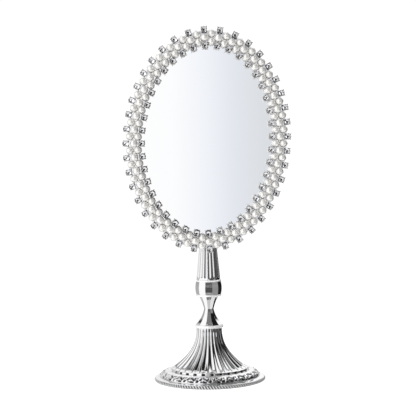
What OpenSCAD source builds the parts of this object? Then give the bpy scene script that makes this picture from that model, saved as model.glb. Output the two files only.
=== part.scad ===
// Oval table mirror on a turned pedestal, with a rim of strung pearls and claw-set stones.
// Millimetres. +Z is up, the mirror faces -Y, and the origin is the centre of the foot's underside.

/* [Mirror head] */
// Half width of the oval on which the centre pearls lie
oval_a = 71.6; // [70:0.2:76]
// Half height of the same oval
oval_b = 100.2; // [98:0.2:108]
// Height of the oval's centre above the table
head_z = 241.2; // [240:0.2:256]
// Sideways lean of the oval about its own centre, top towards +X, in degrees
head_lean = 3.5; // [0:0.5:4]
// Thickness of the mirror glass
glass_t = 3; // [2:0.5:4]

/* [Beadwork] */
// Rows of beads round the oval: every second row is a pair of pearls
bead_rows = 80; // [80:4:80]
// Diameter of a pearl
pearl_d = 7.7; // [7:0.1:7.7]
// How far the centre pearls stand in front of the paired ones
pearl_dome = 1.3; // [1.2:0.1:1.6]
// Diameter of a stone
stone_d = 6.2; // [5.6:0.1:6.3]
// Distance of the outer stones' cups from the centre pearls
outer_stone = 7.3; // [7.2:0.1:8]
// Distance of the inner stones' cups from the centre pearls
inner_stone = 7.3; // [7.2:0.1:8]
// How far the stones lean away from the pearls, in degrees
stone_splay = 10; // [0:1:12]

/* [Pedestal] */
// Radius of the foot
foot_r = 56.2; // [54:0.5:60]
// Height of the bell-shaped foot
bell_h = 53.2; // [48:0.2:56]
// Height of the waisted spool
spool_h = 28.5; // [26:0.5:34]
// Height of the faceted knop
knop_h = 12.8; // [10:0.2:14]
// Height of the fluted column
column_h = 34; // [34:0.2:37]
// Flutes round the column
column_flutes = 18; // [16:1:22]
// Facets round the spool and the knop
facets = 12; // [10:2:12]

/* [Hinge] */
// Height of the tilt pin above the top of the column
pin_rise = 11.9; // [11.5:0.1:14]
// Diameter of the tilt pin
pin_d = 4; // [3:0.5:5]
// Diameter of the swivel shank
shank_d = 7; // [6:0.5:8]

/* [Hidden] */
$fn = 72;
eps = 0.01;
play = 0.05;                                // radial clearance of pieces that turn or slide together

// Pedestal stack, from the table up
pad_t = 2;
pad_r = foot_r - 3.2;
rim_z = 0.6;                                // the metal rim stands clear of the table by this much
plate_t = 1;
collar_h = 3.3;
bead_h = 2;
collar_z = bell_h;
spool_z = collar_z + collar_h;
lower_bead_z = spool_z + spool_h;
knop_z = lower_bead_z + bead_h;
upper_bead_z = knop_z + knop_h;
column_z = upper_bead_z + bead_h;
column_top = column_z + column_h;
collar_r = 14.7;
bead_ring_r = 13.1;
knop_r = 13.7;
column_r = 12;
column_taper = 0.095;                       // loss of radius for each mm of height
function column_radius(z) = column_r - column_taper * (z - column_z);

// Bell: a neck that flares by a power law down to a domed border and a flat rim
neck_r = 12.9;
flare_r = 38;
flare_z = 13;
flare_power = 2.4;
border_r = 50.3;
border_z = 5.2;
bell_wall = 2.2;
flare_steps = 16;
function flare_radius(z) =
    neck_r + (flare_r - neck_r) * pow((bell_h - z) / (bell_h - flare_z), flare_power);

// Spool: two power-law flares that meet at a narrow waist
waist_r = 4.9;
waist_z = spool_z + 0.55 * spool_h;
spool_foot_r = 13.9;
spool_top_r = 10.2;
spool_steps = 8;
knop_steps = 8;
facet_turn = 14;
flute_turn = 4;

// Tie rod
rod_r = 3;
rod_hole_r = 3.3;
web_t = 4;                                  // thickness of the web that closes the bell's neck
washer_t = 1.6;
nut_t = 5;
nut_flats = 10;
rod_top = column_z + 16;
bush_r = 5;
bush_z = column_top - 22;
flange_t = 1.6;
flange_r = 6.2;

// Swivel and tilt hinge
shank_r = shank_d / 2;
washer_z = column_top + flange_t;
thrust_t = 0.6;
shoulder_z = washer_z + thrust_t;
shoulder_t = 2.2;
shoulder_r = 6;
shank_bottom = column_top - 12;
ring_groove_z = column_top - 9;
ring_groove_h = 1.2;
ring_groove_r = shank_r + 0.6;
pin_z = column_top + pin_rise;
pin_r = pin_d / 2;
eye_r = 5.2;
tongue_t = 5;
hinge_washer_t = 0.5;
ear_t = 2.6;
ear_x = tongue_t / 2 + hinge_washer_t;      // inner face of each ear

// Head stack, from the back cover to the pearls: depths along Y
cover_y = -11.5;                            // rear face of the back cover
cover_t = 1;
pad_front = cover_y - cover_t - 2;
glass_front = pad_front - glass_t;
wire_w = 0.5;
wire_gap = 0.1;
wire_back = glass_front - wire_gap;         // rear face of the wires behind the ring
ring_back = wire_back - wire_w - wire_gap;
ring_t = 1.5;
ring_front = ring_back - ring_t;
pearl_r = pearl_d / 2;
pearl_lift = 0.3;                           // gap between the paired pearls and the ring
pearl_y = ring_front - pearl_lift - pearl_r;
centre_y = pearl_y - pearl_dome;
pair_gap = 0.1;
pair_off = pearl_r + pair_gap / 2;          // paired pearls' distance from the oval
pair_leg = 2 * pearl_r + pair_gap + 0.15;   // where the paired rows' wires turn down
glass_off = -2.5;                           // outline of the glass, from the oval
cover_off = 6.5;
ring_outer = 7;
ring_inner = -6.2;
hole_r = 0.55;                              // drilling in the pearls

// Stone and claw cup, measured forward from the paired pearls' centres
stone_r = stone_d / 2;
cup_base = 2.1;                             // half width of the cup at its base
cup_top = stone_r + 0.15;
cup_h = 3;
girdle_t = 0.3;
crown_h = 1.1;
table_r = 0.55 * stone_r;
pavilion_h = 2.2;
culet_cut = 0.9;                            // the pavilion's point is cut off to clear the wire
prong_w = 0.7;
prong_h = 0.9;

// Row positions: equal steps along the oval of the inner pearls
arc_steps = 360;
function oval_point(t, off = 0) = [(oval_a + off) * cos(t), (oval_b + off) * sin(t)];
function step_length(i) =
    norm(oval_point((i + 1) * 360 / arc_steps, -pair_off) - oval_point(i * 360 / arc_steps, -pair_off));
arc_table = [for (i = 0, s = 0; i <= arc_steps; s = s + step_length(i), i = i + 1) [s, i * 360 / arc_steps]];
arc_total = arc_table[arc_steps][0];
function row_angle(row) = lookup(row * arc_total / bead_rows, arc_table);
function oval_normal(t) = atan2(oval_a * sin(t), oval_b * cos(t));
screw_rows = [10.5, 29.5, 50.5, 69.5];      // bosses stand between two rows of wire
boss_off = 2;
boss_r = 1.8;
screw_r = 1;
screw_head_r = 1.9;
screw_head_t = 1;

// ---- shared shapes ----

// Places children in the head's own frame: x across, y up the oval, z forward (towards -Y)
module head_frame(depth = 0)
    translate([0, depth, head_z]) rotate([0, head_lean, 0]) rotate([90, 0, 0]) children();

// Places children on the oval at a bead row: x points outwards, y along the rim
module on_row(row) {
    t = row_angle(row);
    p = oval_point(t);
    translate([p[0], p[1], 0]) rotate([0, 0, oval_normal(t)]) children();
}

module oval_plate(off, thickness)
    scale([oval_a + off, oval_b + off, 1]) cylinder(r = 1, h = thickness);

module tube(outer, inner, height)
    difference() {
        cylinder(r = outer, h = height);
        translate([0, 0, -eps]) cylinder(r = inner, h = height + 2 * eps);
    }

// Ring with a half-round edge, bored for the tie rod
module round_edge_ring(outer, height)
    difference() {
        union() {
            cylinder(r = outer - height / 2, h = height);
            rotate_extrude() translate([outer - height / 2, height / 2]) circle(r = height / 2, $fn = 24);
        }
        translate([0, 0, -eps]) cylinder(r = rod_hole_r, h = height + 2 * eps);
    }

function hundredths(x) = round(100 * x) / 100;

// Stack of faceted frusta through a list of [height, radius]
module faceted_stack(rings)
    rotate([0, 0, facet_turn]) for (i = [0:len(rings) - 2]) translate([0, 0, rings[i][0]])
        cylinder(r1 = rings[i][1], r2 = rings[i + 1][1], h = rings[i + 1][0] - rings[i][0], $fn = facets);

// Takes the tie rod's bore out of a piece of the stem
module bored(low, height)
    difference() {
        children();
        translate([0, 0, low - eps]) cylinder(r = rod_hole_r, h = height + 2 * eps);
    }

module even_rows() for (row = [0:2:bead_rows - 1]) on_row(row) children();
module odd_rows() for (row = [1:2:bead_rows - 1]) on_row(row) children();

// ---- pedestal ----

module felt_pad() color("dimgray") cylinder(r = pad_r, h = pad_t);

module base_plate() color("silver") translate([0, 0, pad_t]) cylinder(r = pad_r, h = plate_t);

module bell_outline()
    polygon(concat(
        [[pad_r + 0.1, rim_z], [foot_r - 0.8, rim_z], [foot_r, rim_z + 0.8], [foot_r - 0.4, 2], [foot_r - 2, 3],
         [border_r, border_z - 0.8]],
        [for (a = [0:15:75]) [flare_r + (border_r - flare_r) * cos(a), border_z + (flare_z - border_z) * sin(a)]],
        [for (i = [0:flare_steps]) let (z = flare_z + (bell_h - flare_z) * i / flare_steps) [flare_radius(z), z]],
        [[rod_hole_r, bell_h], [rod_hole_r, bell_h - web_t], [neck_r - bell_wall - 0.6, bell_h - web_t]],
        [for (i = [flare_steps - 2:-1:2]) let (z = flare_z + (bell_h - flare_z) * i / flare_steps)
            [flare_radius(z) - bell_wall, z - bell_wall / 2]],
        [[border_r - 8, flare_z - 3.4], [border_r - 3, border_z - 0.4], [pad_r - 3, pad_t + plate_t],
         [pad_r + 0.1, pad_t + plate_t]]
    ));

module foot_bell() color("gainsboro") rotate_extrude() bell_outline();

module rod_washer()
    color("silver") translate([0, 0, bell_h - web_t - washer_t]) tube(neck_r - bell_wall - 1.6, rod_hole_r, washer_t);

module rod_nut()
    color("silver") translate([0, 0, bell_h - web_t - washer_t - nut_t])
        difference() {
            cylinder(r = nut_flats / 2 / cos(30), h = nut_t, $fn = 6);
            translate([0, 0, -eps]) cylinder(r = rod_r + play, h = nut_t + 2 * eps);
        }

module tie_rod() {
    bottom = bell_h - web_t - washer_t - nut_t - 2;
    color("gray") translate([0, 0, bottom]) cylinder(r = rod_r, h = rod_top - bottom);
}

module collar_disc() color("gainsboro") translate([0, 0, collar_z]) round_edge_ring(collar_r, collar_h);

module waist_spool() {
    low = waist_z - spool_z;
    high = spool_z + spool_h - waist_z;
    color("gainsboro") bored(spool_z, spool_h) faceted_stack(concat(
        [for (i = [0:spool_steps]) let (u = 1 - i / spool_steps)
            [hundredths(waist_z - low * u), waist_r + (spool_foot_r - waist_r) * pow(u, 1.75)]],
        [for (i = [1:spool_steps]) let (u = i / spool_steps)
            [hundredths(waist_z + high * u), waist_r + (spool_top_r - waist_r) * pow(u, 1.45)]]
    ));
}

module lower_bead_ring() color("gainsboro") translate([0, 0, lower_bead_z]) round_edge_ring(bead_ring_r, bead_h);

module faceted_knop()
    color("gainsboro") bored(knop_z, knop_h) faceted_stack(
        [for (i = [0:knop_steps]) let (u = 2 * i / knop_steps - 1) [hundredths(knop_z + knop_h * i / knop_steps), knop_r - 1.4 * u * u]]
    );

module upper_bead_ring() color("gainsboro") translate([0, 0, upper_bead_z]) round_edge_ring(bead_ring_r, bead_h);

module fluted_column() {
    flute_r = 1.5;
    flute_sink = 0.55;
    lean = atan(column_taper);
    color("gainsboro") difference() {
        translate([0, 0, column_z]) cylinder(r1 = column_r, r2 = column_radius(column_top), h = column_h);
        for (i = [0:column_flutes - 1]) rotate([0, 0, flute_turn + (i + 0.5) * 360 / column_flutes])
            translate([column_r + flute_r - flute_sink, 0, column_z + 1.2]) rotate([0, -lean, 0])
                cylinder(r = flute_r, h = column_h - 2.8, $fn = 24);
        translate([0, 0, column_z - eps]) cylinder(r = rod_hole_r, h = column_h + 2 * eps);
        translate([0, 0, bush_z]) cylinder(r = bush_r, h = column_top - bush_z + eps);
    }
}

module socket_bush()
    color("goldenrod") difference() {
        union() {
            translate([0, 0, bush_z]) cylinder(r = bush_r - play, h = column_top - bush_z);
            translate([0, 0, column_top]) cylinder(r = flange_r, h = flange_t);
        }
        translate([0, 0, bush_z - eps]) cylinder(r = rod_r + play, h = column_top - bush_z + 2 * eps);
        translate([0, 0, shank_bottom - 0.5]) cylinder(r = shank_r + play, h = washer_z - shank_bottom + 1);
        translate([0, 0, ring_groove_z]) cylinder(r = ring_groove_r, h = ring_groove_h);
    }

// ---- swivel ----

module thrust_washer()
    color("white") translate([0, 0, washer_z]) tube(shoulder_r, shank_r + play, thrust_t);

module swivel_post()
    color("silver") difference() {
        union() {
            translate([0, 0, shank_bottom]) cylinder(r = shank_r, h = shoulder_z - shank_bottom + eps);
            translate([0, 0, shoulder_z]) cylinder(r = shoulder_r, h = shoulder_t);
            translate([-tongue_t / 2, -eye_r, shoulder_z + shoulder_t - eps])
                cube([tongue_t, 2 * eye_r, pin_z - shoulder_z - shoulder_t + eps]);
            translate([-tongue_t / 2, 0, pin_z]) rotate([0, 90, 0]) cylinder(r = eye_r, h = tongue_t);
        }
        translate([-tongue_t, 0, pin_z]) rotate([0, 90, 0]) cylinder(r = pin_r + play, h = 2 * tongue_t);
        translate([0, 0, ring_groove_z]) tube(shank_r + 1, shank_r - 0.5, ring_groove_h);
    }

module snap_ring()
    color("gray") translate([0, 0, ring_groove_z + 0.1])
        tube(ring_groove_r - play, shank_r - 0.5 + play, ring_groove_h - 0.2);

// ---- hinge on the head ----

bracket_w = 2 * (ear_x + ear_t);
bracket_plate_t = 2;
bracket_low = pin_z - 8;
bracket_high = pin_z + 14;
rivet_z = pin_z + 10;
rivet_x = 3.6;
rivet_r = 1.2;

module ear(x)
    translate([x, 0, pin_z]) difference() {
        union() {
            rotate([0, 90, 0]) cylinder(r = eye_r, h = ear_t);
            translate([0, cover_y + bracket_plate_t - eps, -eye_r]) cube([ear_t, -cover_y - bracket_plate_t, 2 * eye_r]);
        }
        translate([-eps, 0, 0]) rotate([0, 90, 0]) cylinder(r = pin_r + play, h = ear_t + 2 * eps);
    }

module hinge_bracket()
    color("silver") difference() {
        union() {
            translate([-bracket_w / 2, cover_y, bracket_low])
                cube([bracket_w, bracket_plate_t, bracket_high - bracket_low]);
            ear(ear_x);
            ear(-ear_x - ear_t);
        }
        for (x = [-rivet_x, rivet_x]) translate([x, cover_y - eps, rivet_z]) rotate([-90, 0, 0])
            cylinder(r = rivet_r + play, h = bracket_plate_t + 2 * eps);
    }

module bracket_rivets()
    color("gray") for (x = [-rivet_x, rivet_x]) translate([x, cover_y, rivet_z]) {
        translate([0, -cover_t, 0]) rotate([-90, 0, 0]) cylinder(r = rivet_r, h = cover_t + bracket_plate_t + eps);
        translate([0, bracket_plate_t, 0]) rotate([-90, 0, 0]) cylinder(r1 = 2.2, r2 = 1.4, h = 1);
    }

module hinge_washers()
    color("white") for (x = [-ear_x, ear_x - hinge_washer_t])
        translate([x, 0, pin_z]) rotate([0, 90, 0]) tube(eye_r - 0.6, pin_r + play, hinge_washer_t);

module tilt_pin()
    color("silver") translate([-ear_x - ear_t, 0, pin_z]) rotate([0, 90, 0]) {
        cylinder(r = pin_r, h = bracket_w + 4);
        translate([0, 0, -2]) cylinder(r = 3.6, h = 2);
    }

module cap_nut()
    color("silver") translate([ear_x + ear_t, 0, pin_z]) rotate([0, 90, 0]) difference() {
        union() {
            cylinder(r = 4.2, h = 4);
            translate([0, 0, 4]) cylinder(r1 = 3.4, r2 = 2, h = 1.6);
        }
        translate([0, 0, -eps]) cylinder(r = pin_r + play, h = 4.2);
    }

// ---- mirror head ----

module at_screws() for (row = screw_rows) on_row(row) translate([boss_off, 0, 0]) children();

module back_cover() {
    rim = wire_back - wire_gap - cover_y;   // negative: the rim reaches forward to the wires
    color("lightgray") difference() {
        union() {
            head_frame(cover_y) oval_plate(cover_off, cover_t);
            head_frame(cover_y - cover_t) difference() {
                oval_plate(cover_off, -rim - cover_t - 2 * wire_gap);
                translate([0, 0, -eps]) oval_plate(cover_off - 1, -rim);
            }
        }
        head_frame(cover_y + eps) at_screws() cylinder(r = screw_r + 0.15, h = cover_t + 2 * eps, $fn = 32);
        for (x = [-rivet_x, rivet_x]) translate([x, cover_y - cover_t - eps, rivet_z]) rotate([-90, 0, 0])
            cylinder(r = rivet_r + play, h = cover_t + 2 * eps, $fn = 32);
    }
}

module backing_pad() color("dimgray") head_frame(cover_y - cover_t) oval_plate(glass_off - 0.5, 2);

module mirror_glass() color("lightblue") head_frame(pad_front) oval_plate(glass_off, glass_t);

module frame_ring() {
    boss_h = ring_back - (cover_y - cover_t);
    color("silver") difference() {
        union() {
            head_frame(ring_back) difference() {
                oval_plate(ring_outer, ring_t);
                translate([0, 0, -eps]) oval_plate(ring_inner, ring_t + 2 * eps);
            }
            head_frame(cover_y - cover_t) at_screws() cylinder(r = boss_r, h = -boss_h + eps, $fn = 32);
        }
        head_frame(cover_y - cover_t + eps) at_screws() cylinder(r = screw_r, h = 4, $fn = 32);
    }
}

module cover_screws()
    color("silver") head_frame(cover_y) at_screws() {
        translate([0, 0, -screw_head_t]) cylinder(r = screw_head_r, h = screw_head_t, $fn = 32);
        translate([0, 0, -eps]) cylinder(r = screw_r - play, h = cover_t + 3, $fn = 32);
    }

// ---- beadwork ----

// A wire bent into a flat loop round the ring, from one side of the row to the other
module wire_loop(inner, outer, front_y) {
    depth = wire_back - front_y;
    translate([0, wire_w / 2, 0]) rotate([90, 0, 0]) linear_extrude(height = wire_w) difference() {
        translate([inner - wire_w / 2, 0]) square([outer - inner + wire_w, depth + wire_w / 2]);
        translate([inner + wire_w / 2, wire_w]) square([outer - inner - wire_w, depth - 1.5 * wire_w]);
    }
}

module pair_wires() color("silver") head_frame(wire_back) even_rows() wire_loop(-pair_leg, pair_leg, pearl_y);

module single_wires()
    color("silver") head_frame(wire_back) odd_rows() wire_loop(-inner_stone, outer_stone, centre_y);

// Drilled pearl with its hole along x
module pearl()
    rotate([0, 90, 0]) rotate_extrude($fn = 48) intersection() {
        circle(r = pearl_r, $fn = 48);
        translate([hole_r, -pearl_r]) square([pearl_r, 2 * pearl_r]);
    }

module outer_pearls() color("ivory") head_frame(pearl_y) even_rows() translate([pair_off, 0, 0]) pearl();
module inner_pearls() color("ivory") head_frame(pearl_y) even_rows() translate([-pair_off, 0, 0]) pearl();
module centre_pearls() color("ivory") head_frame(centre_y) odd_rows() pearl();

// Leans a stone and its cup away from the pearls: side is 1 on the outer row, -1 on the inner
module splayed(side) rotate([0, side * stone_splay, 0]) children();

// Square claw cup with four prongs and a seat for the stone's pavilion
module cup_body()
    difference() {
        union() {
            intersection() {
                rotate([90, 0, 0]) translate([0, 0, -5]) linear_extrude(height = 10) cup_side();
                rotate([90, 0, 90]) translate([0, 0, -5]) linear_extrude(height = 10) cup_side();
            }
            for (x = [-1, 1], y = [-1, 1])
                translate([x * (cup_top - prong_w / 2), y * (cup_top - prong_w / 2), cup_h - eps])
                    translate([-prong_w / 2, -prong_w / 2, 0]) cube([prong_w, prong_w, prong_h]);
        }
        translate([0, 0, cup_h - pavilion_h - play]) cylinder(r1 = 0.4, r2 = stone_r, h = pavilion_h + 2 * play);
        translate([0, 0, cup_h]) cylinder(r = stone_r + play, h = 3);
    }

// Claw cup with a slot that lets the wire in from the pearls' side
module claw_cup(side)
    difference() {
        splayed(side) cup_body();
        translate([side < 0 ? -wire_w : -cup_top - 1, -wire_w, -1])
            cube([cup_top + 1 + wire_w, 2 * wire_w, 1 + pearl_dome + wire_w]);
    }

module cup_side() polygon([[-cup_base, 0], [cup_base, 0], [cup_top, cup_h], [-cup_top, cup_h]]);

module outer_cups() color("silver") head_frame(pearl_y) odd_rows() translate([outer_stone, 0, 0]) claw_cup(1);
module inner_cups() color("silver") head_frame(pearl_y) odd_rows() translate([-inner_stone, 0, 0]) claw_cup(-1);

// Round stone: pointed pavilion, girdle, crown and a flat table
module stone()
    translate([0, 0, cup_h]) rotate_extrude($fn = 32) polygon([
        [0, culet_cut - pavilion_h], [stone_r - 0.7, -play], [stone_r, play], [stone_r, girdle_t],
        [table_r, girdle_t + crown_h], [0, girdle_t + crown_h]
    ]);

module outer_stones() color("whitesmoke") head_frame(pearl_y) odd_rows() translate([outer_stone, 0, 0]) splayed(1) stone();
module inner_stones() color("whitesmoke") head_frame(pearl_y) odd_rows() translate([-inner_stone, 0, 0]) splayed(-1) stone();

felt_pad();
base_plate();
foot_bell();
rod_nut();
rod_washer();
tie_rod();
collar_disc();
waist_spool();
lower_bead_ring();
faceted_knop();
upper_bead_ring();
fluted_column();
socket_bush();
thrust_washer();
swivel_post();
snap_ring();
hinge_bracket();
bracket_rivets();
hinge_washers();
tilt_pin();
cap_nut();
back_cover();
cover_screws();
backing_pad();
mirror_glass();
frame_ring();
pair_wires();
single_wires();
outer_pearls();
centre_pearls();
inner_pearls();
outer_cups();
inner_cups();
outer_stones();
inner_stones();
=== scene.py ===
"""Looks of an oval table mirror: a rim of drilled pearls and claw-set stones on a silver-plated pedestal."""

import logging
import math
import random
from bisect import bisect_left
from dataclasses import dataclass
from enum import Enum
from typing import Callable

import bmesh
import bpy
from mathutils import Matrix, Vector


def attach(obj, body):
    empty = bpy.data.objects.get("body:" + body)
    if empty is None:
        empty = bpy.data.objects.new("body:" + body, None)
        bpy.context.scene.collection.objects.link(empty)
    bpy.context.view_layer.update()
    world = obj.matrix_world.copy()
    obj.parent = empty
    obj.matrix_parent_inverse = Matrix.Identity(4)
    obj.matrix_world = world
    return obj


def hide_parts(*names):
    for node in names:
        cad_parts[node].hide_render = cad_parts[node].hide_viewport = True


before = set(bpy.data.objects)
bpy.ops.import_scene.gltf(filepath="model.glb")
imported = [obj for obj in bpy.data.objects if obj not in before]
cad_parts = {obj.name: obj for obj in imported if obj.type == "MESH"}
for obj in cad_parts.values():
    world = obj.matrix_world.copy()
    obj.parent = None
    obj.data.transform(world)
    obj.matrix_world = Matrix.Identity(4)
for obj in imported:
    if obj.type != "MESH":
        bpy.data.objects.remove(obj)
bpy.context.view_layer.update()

LOG = logging.getLogger("mirror")
MM = 0.001
FULL_TURN = 2 * math.pi
WAVE_PERIOD = 0.31  # a wave texture of scale 1 repeats over this many units


class Body(Enum):
    """Rigid bodies of the mirror."""

    STAND = "stand"
    KNUCKLE = "knuckle"
    HEAD = "head"


class Row(Enum):
    """Rows of beads across the rim, from the outside in."""

    OUTER = 1
    CENTRE = 0
    INNER = -1


# ---- colour and node helpers ----


def linear(code: str, alpha: float = 1.0) -> tuple[float, float, float, float]:
    """Turn an sRGB hex colour into linear red, green, blue and alpha.

    Args:
        code: Colour such as "f2efe9".
        alpha: Opacity passed through unchanged.

    Returns:
        The four channels for a shader socket.
    """
    channels = [int(code[i:i + 2], 16) / 255 for i in (0, 2, 4)]
    red, green, blue = (c / 12.92 if c <= 0.04045 else ((c + 0.055) / 1.055) ** 2.4 for c in channels)
    return red, green, blue, alpha


def add_node(tree: bpy.types.NodeTree, kind: str, settings: dict | None = None,
             **links: object) -> bpy.types.Node:
    """Add one node with its settings and the links or values of its inputs.

    Args:
        tree: Node tree that gets the node.
        kind: Blender's name of the node type.
        settings: Attributes set on the node itself.
        **links: Input name, with underscores for spaces (or i0, i1 for a number), to a socket or value.

    Returns:
        The new node.
    """
    node = tree.nodes.new(kind)
    for name, value in (settings or {}).items():
        setattr(node, name, value)
    for name, value in links.items():
        key = int(name[1:]) if name[0] == "i" and name[1:].isdigit() else name.replace("_", " ")
        socket = node.inputs[key]
        if isinstance(value, bpy.types.NodeSocket):
            tree.links.new(value, socket)
        else:
            socket.default_value = value
    return node


def blend(tree: bpy.types.NodeTree, share: bpy.types.NodeSocket, low: object,
          high: object) -> bpy.types.NodeSocket:
    """Mix two colours, each a socket or a value, by a share from 0 to 1."""
    return add_node(tree, "ShaderNodeMix", {"data_type": "RGBA"}, i0=share, i6=low, i7=high).outputs[2]


def set_ramp(node: bpy.types.Node, stops: list[tuple[float, str]]) -> None:
    """Fill a colour ramp from (position, hex colour) stops."""
    elements = node.color_ramp.elements
    while len(elements) < len(stops):
        elements.new(0.5)
    for element, (position, code) in zip(elements, stops):
        element.position = position
        element.color = linear(code)


# ---- finishes ----


@dataclass(frozen=True)
class Finish:
    """A finish that makes one named material from a Principled shader."""

    name: str = "finish"
    colour: str = "808080"

    def material(self) -> bpy.types.Material:
        """Make the material, or return it if it is there already."""
        found = bpy.data.materials.get(self.name)
        if found:
            return found
        made = bpy.data.materials.new(self.name)
        made.use_nodes = True
        made.node_tree.nodes.clear()
        output = add_node(made.node_tree, "ShaderNodeOutputMaterial")
        shader = add_node(made.node_tree, "ShaderNodeBsdfPrincipled", Base_Color=linear(self.colour))
        made.node_tree.links.new(shader.outputs[0], output.inputs[0])
        made.diffuse_color = linear(self.colour)
        self.dress(made.node_tree, shader)
        return made

    def dress(self, tree: bpy.types.NodeTree, shader: bpy.types.Node) -> None:
        """Set the shader's sockets and patterns; the plain finish has none."""

    @staticmethod
    def place(tree: bpy.types.NodeTree) -> bpy.types.NodeSocket:
        """Return the object coordinates, in metres."""
        return add_node(tree, "ShaderNodeTexCoord").outputs["Object"]


@dataclass(frozen=True)
class SilverPlate(Finish):
    """Bright silver plating over brass: a mirror skin with faint polishing waves, and painted shade that
    greys its hollows.
    """

    name: str = "bright_silver_plating"
    colour: str = "f6f6f7"
    # Dark grey of the painted shade.
    painted_shade: str = "303134"
    roughness: float = 0.085
    wave_mm: float = 2.6
    wave_depth: float = 0.035
    metallic: float = 1.0

    def dress(self, tree: bpy.types.NodeTree, shader: bpy.types.Node) -> None:
        """Metal with a slow wave in the plating, and painted shade that darkens it in hollows, grooves and
        undersides.
        """
        place = self.place(tree)
        wave = add_node(tree, "ShaderNodeTexNoise", Vector=place, Scale=1 / (self.wave_mm * MM), Detail=2.0)
        painted_shade = add_node(tree, "ShaderNodeAttribute", {"attribute_name": "painted_shade"})
        # Painted shade: the plating colour is mixed towards dark grey as far as the mesh attribute asks.
        colour = blend(tree, painted_shade.outputs["Fac"], linear(self.colour), linear(self.painted_shade))
        rough = add_node(tree, "ShaderNodeMapRange", Value=wave.outputs["Fac"], From_Min=0.3, From_Max=0.7,
                         To_Min=self.roughness * 0.8, To_Max=self.roughness * 1.35)
        bump = add_node(tree, "ShaderNodeBump", Height=wave.outputs["Fac"], Strength=self.wave_depth,
                        Distance=MM)
        shader.inputs["Metallic"].default_value = self.metallic
        tree.links.new(colour, shader.inputs["Base Color"])
        tree.links.new(rough.outputs[0], shader.inputs["Roughness"])
        tree.links.new(bump.outputs[0], shader.inputs["Normal"])


@dataclass(frozen=True)
class TurnedMetal(Finish):
    """Metal as it leaves the lathe: fine rings round the stem, with no plating."""

    name: str = "turned_steel"
    colour: str = "b4b5b7"
    roughness: float = 0.3
    ring_mm: float = 3.5

    def dress(self, tree: bpy.types.NodeTree, shader: bpy.types.Node) -> None:
        """Rings are turning marks, drawn much coarser than the real feed so that they show."""
        wave = add_node(tree, "ShaderNodeTexWave", {"wave_type": "RINGS", "rings_direction": "Z"},
                        Vector=self.place(tree), Scale=WAVE_PERIOD / (self.ring_mm * MM), Distortion=0.4)
        bump = add_node(tree, "ShaderNodeBump", Height=wave.outputs["Fac"], Strength=0.12, Distance=0.2 * MM)
        shader.inputs["Metallic"].default_value = 1.0
        shader.inputs["Roughness"].default_value = self.roughness
        tree.links.new(bump.outputs[0], shader.inputs["Normal"])


@dataclass(frozen=True)
class SatinBack(Finish):
    """Plated sheet brushed up and down before lacquering, which leaves fine vertical lines."""

    name: str = "brushed_plated_sheet"
    colour: str = "c9cacc"
    line_mm: float = 0.6

    def dress(self, tree: bpy.types.NodeTree, shader: bpy.types.Node) -> None:
        """Noise drawn out along Z gives the brush lines their length."""
        stretch = add_node(tree, "ShaderNodeMapping", Vector=self.place(tree), Scale=(1.0, 1.0, 0.02))
        lines = add_node(tree, "ShaderNodeTexNoise", Vector=stretch.outputs[0], Scale=1 / (self.line_mm * MM),
                         Detail=4.0)
        rough = add_node(tree, "ShaderNodeMapRange", Value=lines.outputs["Fac"], To_Min=0.22, To_Max=0.42)
        bump = add_node(tree, "ShaderNodeBump", Height=lines.outputs["Fac"], Strength=0.15, Distance=0.1 * MM)
        shader.inputs["Metallic"].default_value = 1.0
        tree.links.new(rough.outputs[0], shader.inputs["Roughness"])
        tree.links.new(bump.outputs[0], shader.inputs["Normal"])


@dataclass(frozen=True)
class SilveredGlass(Finish):
    """Float glass silvered on the back: flawless and neutral."""

    name: str = "silvered_float_glass"
    colour: str = "f9f9f9"

    def dress(self, tree: bpy.types.NodeTree, shader: bpy.types.Node) -> None:
        """A mirror with almost no scatter."""
        shader.inputs["Metallic"].default_value = 1.0
        shader.inputs["Roughness"].default_value = 0.012


@dataclass(frozen=True)
class Nacre(Finish):
    """Glass bead dipped in pearl essence: creamy white under a clear gloss, each bead a shade apart."""

    name: str = "dipped_pearl_nacre"
    colour: str = "f8f7f4"
    shade: str = "efedea"
    cloud_mm: float = 3.0

    def dress(self, tree: bpy.types.NodeTree, shader: bpy.types.Node) -> None:
        """Pearl essence is fine flakes, so it shines partly as metal does, under a clear gloss."""
        cloud = add_node(tree, "ShaderNodeTexNoise", Vector=self.place(tree), Scale=1 / (self.cloud_mm * MM),
                         Detail=1.0)
        tint = blend(tree, cloud.outputs["Fac"], linear(self.colour), linear(self.shade))
        tree.links.new(tint, shader.inputs["Base Color"])
        lustre = {"Metallic": 0.4, "Roughness": 0.18, "IOR": 1.56}
        gloss = {"Coat Weight": 1.0, "Coat Roughness": 0.08, "Coat IOR": 1.7}
        for socket, value in (lustre | gloss).items():
            shader.inputs[socket].default_value = value


@dataclass(frozen=True)
class CutCrystal(Finish):
    """Ground and polished crystal crown: clear, with a hard sparkle from every facet."""

    name: str = "cut_crystal"
    colour: str = "fbfbfd"

    def dress(self, tree: bpy.types.NodeTree, shader: bpy.types.Node) -> None:
        """Clear glass of lead-crystal index."""
        shader.inputs["Roughness"].default_value = 0.0
        shader.inputs["IOR"].default_value = 1.56
        shader.inputs["Transmission Weight"].default_value = 1.0


@dataclass(frozen=True)
class FoilBack(Finish):
    """Silver foil fired behind the stone's pavilion, which throws light back out through the crown."""

    name: str = "stone_foil"
    colour: str = "ececec"

    def dress(self, tree: bpy.types.NodeTree, shader: bpy.types.Node) -> None:
        """A slightly soft mirror."""
        shader.inputs["Metallic"].default_value = 1.0
        shader.inputs["Roughness"].default_value = 0.06


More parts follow.
